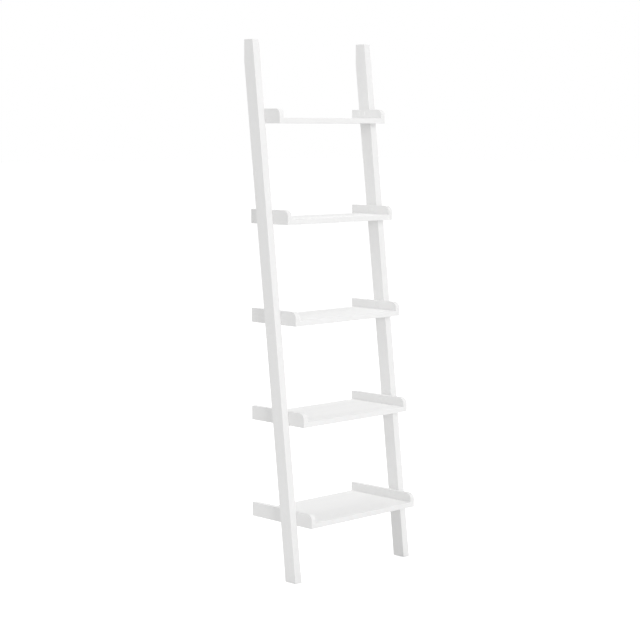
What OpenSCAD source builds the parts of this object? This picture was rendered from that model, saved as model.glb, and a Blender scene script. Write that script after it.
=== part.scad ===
// Leaning ladder shelf: two straight rails that lie on the wall at the top,
// carrying five open trays. Each tray is a board between two low cheeks.
// +X is to the right seen from the front, the front faces -Y, and +Z is up.
// The origin is on the floor, midway between the rails and midway in depth.

/* [Overall] */
// Height from the floor to the top of the rails
total_h = 1800; // [1780:5:1860]
// Width across the two rails
total_w = 556; // [460:2:700]
// Lean of the rails from upright, in degrees
lean = 6.4; // [6:0.1:6.8]

/* [Rails] */
// Thickness of a rail, from left to right
rail_t = 28; // [26:1:34]
// Depth of a rail, square to its length
rail_d = 50; // [48:1:60]
// Height of the upright cut that lies on the wall
wall_cut_h = 80; // [80:1:110]
// Rounding of the rails' and boards' long edges
edge_r = 1.5; // [0.5:0.5:3]

/* [Trays] */
// Height of the lowest board's top face
first_shelf_z = 208; // [150:1:230]
// Rise from one board to the next
shelf_pitch = 333.5; // [320:0.5:336]
// Thickness of a shelf board
board_t = 18; // [18:0.5:20]
// Thickness of a cheek
cheek_t = 18; // [18:0.5:20]
// Height of a cheek
cheek_h = 48; // [48:1:60]
// Rounding of a cheek's top front corner
cheek_r = 20; // [5:1:24]
// How far a tray stands out in front of the rails
overhang = 71; // [60:1:90]

/* [Joints] */
// Distance between the two bolts in a cheek
bolt_gap = 24; // [20:1:26]
// Height of the bolts above the board's top face
bolt_up = 15; // [14:0.5:16]
// Length of a bolt under its head
bolt_len = 25; // [22:1:26]
// Length of a dowel
dowel_len = 30; // [25:1:32]

/* [Foot pads] */
// Height of a foot pad that shows below the rail
pad_proud = 1; // [0.5:0.5:2]

/* [Hidden] */
$fn = 64;
eps = 0.1;
shelf_count = 5;

// Small clearance around glued, pressed and bolted pieces
fit_gap = 0.05;

// Rails
cut_z = total_h - wall_cut_h;
rail_span = rail_d / cos(lean);
inner_w = total_w - 2 * rail_t;
rail_x = inner_w / 2;

// Trays
cheek_x = rail_x - cheek_t;
function board_top(i) = first_shelf_z + (i - 1) * shelf_pitch;
function board_bottom(i) = board_top(i) - board_t;
function rail_rear(z) = (cut_z - z) * tan(lean);
function tray_depth(i) = round(rail_rear(board_top(i)) + rail_span + overhang);
total_d = tray_depth(1);
wall_y = total_d / 2;

// Bolts, inserts and covers, all along X
bolt_r = 3;
bolt_hole_r = 3.3;
head_r = 5.25;
head_t = 3.3;
hex_key = 4;
hex_depth = 2;
head_well_r = 6.5;
head_well_d = 5.5;
insert_r = 5;
insert_len = 13;
insert_hole_d = 15;
cover_r = 7.5;
cover_t = 0.8;
cover_plug_t = 1.6;
function bolt_z(i) = board_top(i) + bolt_up;
function bolt_y(i, k) = wall_y - rail_rear(bolt_z(i)) - rail_span / 2 + (k - 0.5) * bolt_gap;

// Dowels, along X through the joint between board and cheek
dowel_r = 4;
dowel_in_cheek = 11;
dowel_end_gap = 1;
dowel_inset = 25;
dowel_chamfer = 1;
deep_tray = 200;
function dowel_count(i) = tray_depth(i) > deep_tray ? 3 : 2;
function dowel_y(i, k) = wall_y - dowel_inset - k * (tray_depth(i) - 2 * dowel_inset) / (dowel_count(i) - 1);
function dowel_z(i) = board_bottom(i) + board_t / 2;

// Foot pads
pad_t = 3;
pad_w = 18;
pad_d = 38;
pad_corner_r = 4;
pad_y = wall_y - rail_rear(0) - rail_span / 2;

// Keyhole hangers, let into the upright cuts
hanger_w = 16;
hanger_h = 50;
hanger_t = 2;
hanger_up = 40;
hanger_z = cut_z + hanger_up;
key_r = 4.5;
key_slot_r = 2.25;
key_drop = 5;
key_rise = 7;
key_well_r = 6;
key_well_d = 10;
hanger_screw_off = 18;
hanger_screw_r = 1.75;
hanger_screw_head_r = 3.25;
hanger_screw_len = 16;
hanger_screw_end_gap = 1;
cross_w = 0.9;
cross_len = 4;
cross_depth = 1.2;
hanger_x = rail_x + rail_t / 2;

// ---- helpers ----

// Builds a piece on the right and mirrors it for the left (side = -1)
module on_side(side) {
    if (side > 0) children();
    else mirror([1, 0, 0]) children();
}

// Extrudes an outline drawn in (Y, Z) along +X
module along_x(len) {
    rotate([90, 0, 90]) linear_extrude(len) children();
}

// A round hole or pin along +X, starting at the origin
module x_rod(r, len) {
    rotate([0, 90, 0]) cylinder(r = r, h = len);
}

// A round hole or pin along +Y, starting at the origin
module y_rod(r, len) {
    rotate([-90, 0, 0]) cylinder(r = r, h = len);
}

// Rectangle from the origin with all four corners rounded
module round_rect(w, d, r) {
    translate([r, 0]) square([w - 2 * r, d]);
    translate([0, r]) square([w, d - 2 * r]);
    for (x = [r, w - r], y = [r, d - r]) translate([x, y]) circle(r);
}

// ---- rails ----

// One rail before drilling: a leaning bar, cut flat at the floor, at the top and at the wall
module rail_bar() {
    intersection() {
        translate([rail_x, wall_y, cut_z])
            rotate([-lean, 0, 0])
            translate([0, -rail_d, -total_h])
            linear_extrude(2 * total_h) round_rect(rail_t, rail_d, edge_r);
        translate([rail_x - eps, wall_y - total_d, pad_proud])
            cube([rail_t + 2 * eps, total_d, total_h - pad_proud]);
    }
}

module insert_holes() {
    for (i = [1:shelf_count], k = [0, 1])
        translate([rail_x - eps, bolt_y(i, k), bolt_z(i)])
            x_rod(insert_r + fit_gap, insert_hole_d + eps);
}

module pad_recess() {
    translate([hanger_x - pad_w / 2, pad_y - pad_d / 2, -eps])
        linear_extrude(pad_t + eps) round_rect(pad_w, pad_d, pad_corner_r);
}

// Shallow seat for the hanger plate, and the deeper well for the wall screw's head
module hanger_recess() {
    translate([hanger_x - hanger_w / 2, wall_y - hanger_t, hanger_z - hanger_h / 2])
        cube([hanger_w, hanger_t + eps, hanger_h]);
    for (z = [-key_drop, key_rise])
        translate([hanger_x, wall_y - key_well_d, hanger_z + z]) y_rod(key_well_r, key_well_d);
    translate([hanger_x - key_well_r, wall_y - key_well_d, hanger_z - key_drop])
        cube([2 * key_well_r, key_well_d, key_drop + key_rise]);
    for (z = [-1, 1])
        translate([hanger_x, wall_y - hanger_screw_len, hanger_z + z * hanger_screw_off])
            y_rod(hanger_screw_r + fit_gap, hanger_screw_len);
}

module rail(side) {
    color("#f4f4f2") on_side(side) difference() {
        rail_bar();
        insert_holes();
        pad_recess();
        hanger_recess();
    }
}

// ---- trays ----

module dowel_holes(i, from_x, len) {
    for (k = [0:dowel_count(i) - 1])
        translate([from_x, dowel_y(i, k), dowel_z(i)]) x_rod(dowel_r + fit_gap, len);
}

module board_outline(i) {
    depth = tray_depth(i);
    translate([-depth + edge_r, 0]) square([depth - edge_r, board_t]);
    translate([-depth, edge_r]) square([depth, board_t - 2 * edge_r]);
    for (z = [edge_r, board_t - edge_r]) translate([-depth + edge_r, z]) circle(edge_r);
}

module shelf_board(i) {
    drilled = dowel_len - dowel_in_cheek + dowel_end_gap;
    color("#f6f6f4") difference() {
        translate([-cheek_x, wall_y, board_bottom(i)])
            along_x(2 * cheek_x) board_outline(i);
        for (side = [-1, 1]) on_side(side)
            dowel_holes(i, cheek_x - drilled, drilled + eps);
    }
}

module cheek_outline(i) {
    depth = tray_depth(i);
    translate([-depth, 0]) square([depth, cheek_h - cheek_r]);
    translate([-depth + cheek_r, 0]) square([depth - cheek_r, cheek_h]);
    translate([-depth + cheek_r, cheek_h - cheek_r]) circle(cheek_r);
}

module cheek_bolt_holes(i) {
    for (k = [0, 1]) translate([cheek_x - eps, bolt_y(i, k), bolt_z(i)]) {
        x_rod(bolt_hole_r, cheek_t + 2 * eps);
        x_rod(head_well_r, head_well_d + eps);
    }
}

module cheek(i, side) {
    color("#f2f2f0") on_side(side) difference() {
        translate([cheek_x, wall_y, board_bottom(i)]) along_x(cheek_t) cheek_outline(i);
        cheek_bolt_holes(i);
        dowel_holes(i, cheek_x - eps, dowel_in_cheek + dowel_end_gap + eps);
    }
}

// ---- joints ----

module dowel() {
    rotate([0, 90, 0]) {
        cylinder(r1 = dowel_r - dowel_chamfer, r2 = dowel_r, h = dowel_chamfer);
        translate([0, 0, dowel_chamfer]) cylinder(r = dowel_r, h = dowel_len - 2 * dowel_chamfer);
        translate([0, 0, dowel_len - dowel_chamfer])
            cylinder(r1 = dowel_r, r2 = dowel_r - dowel_chamfer, h = dowel_chamfer);
    }
}

module board_dowels(i) {
    start = cheek_x + dowel_in_cheek - dowel_len;
    color("#d9b98a") for (side = [-1, 1], k = [0:dowel_count(i) - 1]) on_side(side)
        translate([start, dowel_y(i, k), dowel_z(i)]) dowel();
}

// Button-head bolt with a hexagon socket; its head sits at the bottom of the well
module bolt() {
    difference() {
        union() {
            translate([-head_t, 0, 0]) x_rod(head_r, head_t);
            x_rod(bolt_r, bolt_len);
        }
        translate([-head_t - eps, 0, 0]) rotate([0, 90, 0])
            cylinder(d = hex_key / cos(30), h = hex_depth + eps, $fn = 6);
    }
}

module tray_bolts(i) {
    color("#b9bcc0") for (side = [-1, 1], k = [0, 1]) on_side(side)
        translate([cheek_x + head_well_d, bolt_y(i, k), bolt_z(i)]) bolt();
}

// Push-in cover: a thin disc on the cheek's face with a plug in the head's well
module bolt_cover() {
    translate([-cover_t, 0, 0]) x_rod(cover_r, cover_t);
    x_rod(head_well_r - fit_gap, cover_plug_t);
}

module bolt_covers(i) {
    color("#f6f6f4") for (side = [-1, 1], k = [0, 1]) on_side(side)
        translate([cheek_x, bolt_y(i, k), bolt_z(i)]) bolt_cover();
}

module thread_insert() {
    difference() {
        x_rod(insert_r, insert_len);
        translate([-eps, 0, 0]) x_rod(bolt_r + fit_gap, insert_len + 2 * eps);
    }
}

module rail_inserts(side) {
    color("#c9b458") for (i = [1:shelf_count], k = [0, 1]) on_side(side)
        translate([rail_x, bolt_y(i, k), bolt_z(i)]) thread_insert();
}

// ---- feet and wall hangers ----

module foot_pad(side) {
    color("#e6e6e2") on_side(side)
        translate([hanger_x - pad_w / 2 + fit_gap, pad_y - pad_d / 2 + fit_gap, 0])
        linear_extrude(pad_t) round_rect(pad_w - 2 * fit_gap, pad_d - 2 * fit_gap, pad_corner_r);
}

module keyhole() {
    translate([0, 0, -key_drop]) y_rod(key_r, hanger_t + 2 * eps);
    translate([0, 0, key_rise]) y_rod(key_slot_r, hanger_t + 2 * eps);
    translate([-key_slot_r, 0, -key_drop])
        cube([2 * key_slot_r, hanger_t + 2 * eps, key_drop + key_rise]);
}

module wall_hanger(side) {
    color("#a9adb2") on_side(side) translate([hanger_x, wall_y - hanger_t, hanger_z]) difference() {
        translate([-hanger_w / 2 + fit_gap, 0, -hanger_h / 2 + fit_gap])
            cube([hanger_w - 2 * fit_gap, hanger_t, hanger_h - 2 * fit_gap]);
        translate([0, -eps, 0]) keyhole();
        for (z = [-1, 1]) translate([0, 0, z * hanger_screw_off])
            rotate([-90, 0, 0])
            cylinder(r1 = hanger_screw_r, r2 = hanger_screw_head_r, h = hanger_t);
    }
}

// Countersunk wood screw with a cross recess; its head is level with the plate
module hanger_screw() {
    shank_len = hanger_screw_len - hanger_t - hanger_screw_end_gap;
    difference() {
        union() {
            translate([0, -hanger_t - shank_len, 0]) y_rod(hanger_screw_r, shank_len);
            translate([0, -hanger_t, 0]) rotate([-90, 0, 0])
                cylinder(r1 = hanger_screw_r - fit_gap, r2 = hanger_screw_head_r - fit_gap, h = hanger_t);
        }
        for (turn = [0, 90]) translate([0, -cross_depth, 0]) rotate([0, turn, 0])
            translate([-cross_len / 2, 0, -cross_w / 2]) cube([cross_len, cross_depth + eps, cross_w]);
    }
}

module hanger_screws(side) {
    color("#a9adb2") on_side(side) for (z = [-1, 1])
        translate([hanger_x, wall_y, hanger_z + z * hanger_screw_off]) hanger_screw();
}

// ---- nodes ----

rail(-1);  // left_rail
rail(1);  // right_rail
for (i = [1:shelf_count]) {
    shelf_board(i);
    cheek(i, -1);
    cheek(i, 1);
    board_dowels(i);
    tray_bolts(i);
    bolt_covers(i);
}
rail_inserts(-1);  // left_inserts
rail_inserts(1);  // right_inserts
foot_pad(-1);  // left_foot_pad
foot_pad(1);  // right_foot_pad
wall_hanger(-1);  // left_wall_hanger
wall_hanger(1);  // right_wall_hanger
hanger_screws(-1);  // left_hanger_screws
hanger_screws(1);  // right_hanger_screws
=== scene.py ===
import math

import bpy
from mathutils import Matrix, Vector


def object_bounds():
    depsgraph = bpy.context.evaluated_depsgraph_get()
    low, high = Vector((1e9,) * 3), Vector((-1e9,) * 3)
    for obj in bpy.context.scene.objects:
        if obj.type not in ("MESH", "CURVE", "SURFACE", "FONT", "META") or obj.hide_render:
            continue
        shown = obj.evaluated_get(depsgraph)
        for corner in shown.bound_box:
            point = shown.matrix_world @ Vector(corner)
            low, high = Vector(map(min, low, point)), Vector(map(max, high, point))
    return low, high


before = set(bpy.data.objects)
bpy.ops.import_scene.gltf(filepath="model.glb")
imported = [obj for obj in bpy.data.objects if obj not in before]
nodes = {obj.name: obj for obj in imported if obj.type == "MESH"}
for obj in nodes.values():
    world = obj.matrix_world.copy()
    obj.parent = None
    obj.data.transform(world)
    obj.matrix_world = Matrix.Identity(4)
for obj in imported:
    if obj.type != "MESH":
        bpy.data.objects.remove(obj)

# Looks, floor, light and camera for a white leaning ladder shelf. Everything is in metres, in the
# frame of the CAD: +X right, the front faces -Y, the wall is on the +Y side, and +Z is up.

cad_low, cad_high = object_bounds()
wall_y = cad_high[1]

# ---------------------------------------------------------------- camera

CAMERA_FROM_WALL = Vector((-4.1648, -4.32495, 1.50375))
CAMERA_YAW = math.radians(44.42)
CAMERA_PITCH = math.radians(6.27)
FOCAL_MM = 97.6
SENSOR_MM = 36.0
FARTHEST_SEEN = 200.0

camera_data = bpy.data.cameras.new("camera")
camera_data.sensor_width = SENSOR_MM
camera_data.lens = FOCAL_MM
camera_data.clip_end = FARTHEST_SEEN
camera = bpy.data.objects.new("camera", camera_data)
camera.location = CAMERA_FROM_WALL + Vector((0.0, wall_y, 0.0))
camera.rotation_euler = (math.pi / 2 - CAMERA_PITCH, 0.0, -CAMERA_YAW)
bpy.context.collection.objects.link(camera)
bpy.context.scene.camera = camera

# ---------------------------------------------------------------- material helpers


class Shader:
    """A node material that is built up call by call. Coordinates are the frame's, in metres."""

    def __init__(self, name, **constants):
        self.material = bpy.data.materials.new(name)
        self.material.use_nodes = True
        self.tree = self.material.node_tree
        self.surface = self.tree.nodes["Principled BSDF"]
        for key, value in constants.items():
            self.surface.inputs[key.replace("_", " ")].default_value = value
        self.coordinates = self.tree.nodes.new("ShaderNodeTexCoord").outputs["Object"]

    def link(self, source, target):
        self.tree.links.new(source, target)

    def stretched(self, scale, turn=(0.0, 0.0, 0.0), shift=(0.0, 0.0, 0.0)):
        """Frame coordinates turned, then multiplied along each axis by scale, then shifted."""
        turned = self.tree.nodes.new("ShaderNodeVectorRotate")
        turned.rotation_type = "EULER_XYZ"
        turned.inputs["Rotation"].default_value = turn
        self.link(self.coordinates, turned.inputs["Vector"])
        mapping = self.tree.nodes.new("ShaderNodeMapping")
        mapping.inputs["Scale"].default_value = scale
        mapping.inputs["Location"].default_value = shift
        self.link(turned.outputs["Vector"], mapping.inputs["Vector"])
        return mapping.outputs["Vector"]

    def noise(self, vector, scale=1.0, detail=3.0, roughness=0.5, distortion=0.0):
        node = self.tree.nodes.new("ShaderNodeTexNoise")
        node.inputs["Scale"].default_value = scale
        node.inputs["Detail"].default_value = detail
        node.inputs["Roughness"].default_value = roughness
        node.inputs["Distortion"].default_value = distortion
        self.link(vector, node.inputs["Vector"])
        return node.outputs["Fac"]

    def between(self, value, low, high, start=0.3, end=0.7):
        """value, running from start to end, spread between low and high."""
        node = self.tree.nodes.new("ShaderNodeMapRange")
        limits = {"From Min": start, "From Max": end, "To Min": low, "To Max": high}
        for key, number in limits.items():
            node.inputs[key].default_value = number
        self.link(value, node.inputs["Value"])
        return node.outputs["Result"]

    def ramp(self, value, *stops):
        """Colours along value. Each stop is (position, (r, g, b))."""
        node = self.tree.nodes.new("ShaderNodeValToRGB")
        elements = node.color_ramp.elements
        while len(elements) < len(stops):
            elements.new(0.5)
        for element, (position, colour) in zip(elements, stops):
            element.position = position
            element.color = (*colour, 1.0)
        self.link(value, node.inputs["Fac"])
        return node.outputs["Color"]

    def bumps(self, *layers):
        """Bump layers, each (height, depth in metres)."""
        normal = None
        for height, depth in layers:
            node = self.tree.nodes.new("ShaderNodeBump")
            node.inputs["Strength"].default_value = 1.0
            node.inputs["Distance"].default_value = depth
            self.link(height, node.inputs["Height"])
            if normal is not None:
                self.link(normal, node.inputs["Normal"])
            normal = node.outputs["Normal"]
        self.link(normal, self.surface.inputs["Normal"])

    def set(self, **sources):
        for key, source in sources.items():
            self.link(source, self.surface.inputs[key.replace("_", " ")])


# ---------------------------------------------------------------- materials

# Scales count the texture's features in a metre, and depths are in metres.

ALONG_X, ALONG_Y, ALONG_Z = 0, 1, 2

PAINT = (0.848, 0.847, 0.845)
PAINT_THIN = (0.826, 0.825, 0.822)
PAINT_IOR = 1.5
PAINT_SMOOTHEST, PAINT_ROUGHEST = 0.36, 0.48
GRAIN_ALONG, GRAIN_ACROSS, GRAIN_DEPTH = 9.0, 420.0, 0.00045
CLOUD_ALONG, CLOUD_ACROSS = 2.5, 22.0
ROLLER_SCALE, ROLLER_DEPTH = 900.0, 0.00018

BEECH_PALE, BEECH, BEECH_FLECK = (0.78, 0.60, 0.40), (0.70, 0.51, 0.31), (0.52, 0.34, 0.18)
BEECH_IOR = 1.45
BEECH_GRAIN = (30.0, 1100.0, 1100.0)
BEECH_DEPTH = 0.00015

TOOL_MARKS = (5200.0, 300.0, 300.0)
TOOL_MARK_DEPTH = 0.00002
METAL_CLOUD_SCALE = 260.0
METAL_SPREAD = 0.07

MOULDED_CLOUD_SCALE = 90.0
MOULDED_SPREAD = 0.06

# The rails' lean from upright, which their grain follows.
LEAN = math.radians(6.4)


def painted_wood(name, axis, turn=(0.0, 0.0, 0.0), shift=(0.0, 0.0, 0.0)):
    """Satin white paint on wood: the grain shows faintly through, along the given axis."""
    shader = Shader(name, IOR=PAINT_IOR)
    grain_scale, cloud_scale = [GRAIN_ACROSS] * 3, [CLOUD_ACROSS] * 3
    grain_scale[axis], cloud_scale[axis] = GRAIN_ALONG, CLOUD_ALONG
    grain = shader.noise(
        shader.stretched(grain_scale, turn, shift), detail=4.0, roughness=0.6, distortion=0.4)
    cloud = shader.noise(shader.stretched(cloud_scale, turn, shift), detail=2.0)
    roller = shader.noise(shader.coordinates, scale=ROLLER_SCALE, detail=2.0, roughness=0.55)
    shader.set(
        Base_Color=shader.ramp(cloud, (0.25, PAINT_THIN), (0.75, PAINT)),
        Roughness=shader.between(roller, PAINT_SMOOTHEST, PAINT_ROUGHEST),
    )
    shader.bumps((grain, GRAIN_DEPTH), (roller, ROLLER_DEPTH))
    return shader.material


def bare_beech(name):
    """Unpainted beech with fine flecks, its grain along X."""
    shader = Shader(name, IOR=BEECH_IOR)
    grain = shader.noise(
        shader.stretched(BEECH_GRAIN), detail=5.0, roughness=0.65, distortion=0.3)
    shader.set(
        Base_Color=shader.ramp(grain, (0.3, BEECH_FLECK), (0.55, BEECH), (0.8, BEECH_PALE)),
        Roughness=shader.between(grain, 0.62, 0.78),
    )
    shader.bumps((grain, BEECH_DEPTH))
    return shader.material


def plated_metal(name, dark, light, rough):
    """Plated or turned metal: fine tool marks and a slight clouding of the colour."""
    shader = Shader(name, Metallic=1.0)
    cloud = shader.noise(shader.coordinates, scale=METAL_CLOUD_SCALE, detail=4.0)
    marks = shader.noise(shader.stretched(TOOL_MARKS), detail=2.0)
    shader.set(
        Base_Color=shader.ramp(cloud, (0.3, dark), (0.7, light)),
        Roughness=shader.between(marks, rough - METAL_SPREAD, rough + METAL_SPREAD),
    )
    shader.bumps((marks, TOOL_MARK_DEPTH))
    return shader.material


def moulded(name, dark, light, rough, grain_scale, depth, **constants):
    """Moulded plastic or rubber with a fine matt grain."""
    shader = Shader(name, **constants)
    cloud = shader.noise(shader.coordinates, scale=MOULDED_CLOUD_SCALE, detail=3.0)
    grain = shader.noise(shader.coordinates, scale=grain_scale, detail=3.0, roughness=0.6)
    shader.set(
        Base_Color=shader.ramp(cloud, (0.3, dark), (0.7, light)),
        Roughness=shader.between(grain, rough - MOULDED_SPREAD, rough + MOULDED_SPREAD),
    )
    shader.bumps((grain, depth))
    return shader.material


# The material of every node whose name holds the key. The shifts keep neighbours' grain apart.
LOOKS = {
    "shelf_board": painted_wood("paint_on_boards", ALONG_X),
    "cheek": painted_wood("paint_on_cheeks", ALONG_Y, shift=(3.1, 0.7, 1.3)),
    "rail": painted_wood("paint_on_rails", ALONG_Z, turn=(LEAN, 0.0, 0.0), shift=(5.3, 2.9, 0.4)),
    "board_dowels": bare_beech("beech"),
    "tray_bolts": plated_metal("zinc", (0.46, 0.47, 0.49), (0.60, 0.61, 0.63), rough=0.34),
    "bolt_covers": moulded(
        "cover_plastic", (0.830, 0.829, 0.826), (0.850, 0.849, 0.847),
        rough=0.44, grain_scale=1800.0, depth=0.00003, IOR=1.5),
    "inserts": plated_metal("brass", (0.66, 0.48, 0.20), (0.78, 0.60, 0.30), rough=0.30),
    "foot_pad": moulded(
        "pad_rubber", (0.46, 0.46, 0.45), (0.54, 0.54, 0.53),
        rough=0.72, grain_scale=1400.0, depth=0.00008),
    "wall_hanger": plated_metal("zinc_plate", (0.40, 0.41, 0.43), (0.53, 0.54, 0.56), rough=0.38),
    "hanger_screws": plated_metal("zinc_screw", (0.44, 0.45, 0.46), (0.57, 0.58, 0.60), rough=0.32),
}


def look_for(name):
    """The material whose key is the longest one found in the node's name."""
    keys = [key for key in LOOKS if key in name]
    return LOOKS[max(keys, key=len)]


for name, node in nodes.items():
    for material_slot in node.material_slots:
        material_slot.material = look_for(name)

# ---------------------------------------------------------------- eased edges

EASED = {"cheek": 0.0012, "wall_hanger": 0.0003, "foot_pad": 0.0005}
EASE_STEPS = 3
SHARP_ANGLE = math.radians(50)

for name, node in nodes.items():
    for key, width in EASED.items():
        if key in name:
            bevel = node.modifiers.new("eased_edges", "BEVEL")
            bevel.width = width
            bevel.segments = EASE_STEPS
            bevel.limit_method = "ANGLE"
            bevel.angle_limit = SHARP_ANGLE

# ---------------------------------------------------------------- floor and light

WHITE = (1.0, 1.0, 1.0, 1.0)
FLOOR_HALF = 60.0
FLOOR_DULL, FLOOR_BRIGHT = (0.68, 0.68, 0.678), (0.70, 0.70, 0.698)
FLOOR_GLOW = 0.60
STUDIO_WHITE = 1.0
STUDIO_FILL = 0.70
AIM = Vector((0.0, 0.0, 0.9))

# Round soft boxes: name, place, diameter and watts.
LIGHTS = (
    ("low_front", (0.3, -4.8, 0.85), 1.6, 9.0),
    ("key_left", (-5.0, -13.5, 4.0), 5.0, 690.0),
    ("top", (0.0, -1.0, 12.0), 6.0, 215.0),
    ("back_high", (0.5, 6.0, 8.0), 6.0, 420.0),
)


def seen_directly(tree):
    """1 for what is seen directly and 0 for the light that it gives: the plain white studio stays
    white, and still lights the shelf more softly than it looks."""
    return tree.nodes.new("ShaderNodeLightPath").outputs["Is Camera Ray"]


def make_floor():
    mesh = bpy.data.meshes.new("floor")
    signs = ((-1, -1), (1, -1), (1, 1), (-1, 1))
    mesh.from_pydata([(x * FLOOR_HALF, y * FLOOR_HALF, 0.0) for x, y in signs], [], [(0, 1, 2, 3)])
    floor = bpy.data.objects.new("floor", mesh)
    bpy.context.collection.objects.link(floor)
    shader = Shader("floor_white", Specular_IOR_Level=0.0, Emission_Color=WHITE)
    cloud = shader.noise(shader.coordinates, scale=3.0, detail=2.0)
    seen = seen_directly(shader.tree)
    shader.set(
        Base_Color=shader.ramp(cloud, (0.3, FLOOR_DULL), (0.7, FLOOR_BRIGHT)),
        Roughness=shader.between(cloud, 0.85, 0.95),
        Emission_Strength=shader.between(seen, 0.0, FLOOR_GLOW, start=0.0, end=1.0),
    )
    mesh.materials.append(shader.material)


def make_studio():
    """The plain white surroundings."""
    world = bpy.data.worlds.new("studio")
    world.use_nodes = True
    tree = world.node_tree
    background = tree.nodes["Background"]
    background.inputs["Color"].default_value = WHITE
    strength = tree.nodes.new("ShaderNodeMapRange")
    strength.inputs["To Min"].default_value = STUDIO_FILL
    strength.inputs["To Max"].default_value = STUDIO_WHITE
    tree.links.new(seen_directly(tree), strength.inputs["Value"])
    tree.links.new(strength.outputs["Result"], background.inputs["Strength"])
    bpy.context.scene.world = world


def soft_light(name, place, diameter, watts):
    """A soft box aimed at the middle of the shelf. Only the studio shows in the paint's sheen."""
    data = bpy.data.lights.new(name, "AREA")
    data.shape = "DISK"
    data.size = diameter
    data.energy = watts
    light = bpy.data.objects.new(name, data)
    light.location = place
    light.rotation_euler = (AIM - Vector(place)).to_track_quat("-Z", "Y").to_euler()
    light.visible_glossy = False
    light.visible_camera = False
    bpy.context.collection.objects.link(light)


make_floor()
make_studio()
for light_facts in LIGHTS:
    soft_light(*light_facts)

bpy.context.scene.view_settings.view_transform = "Standard"
bpy.context.scene.view_settings.look = "None"
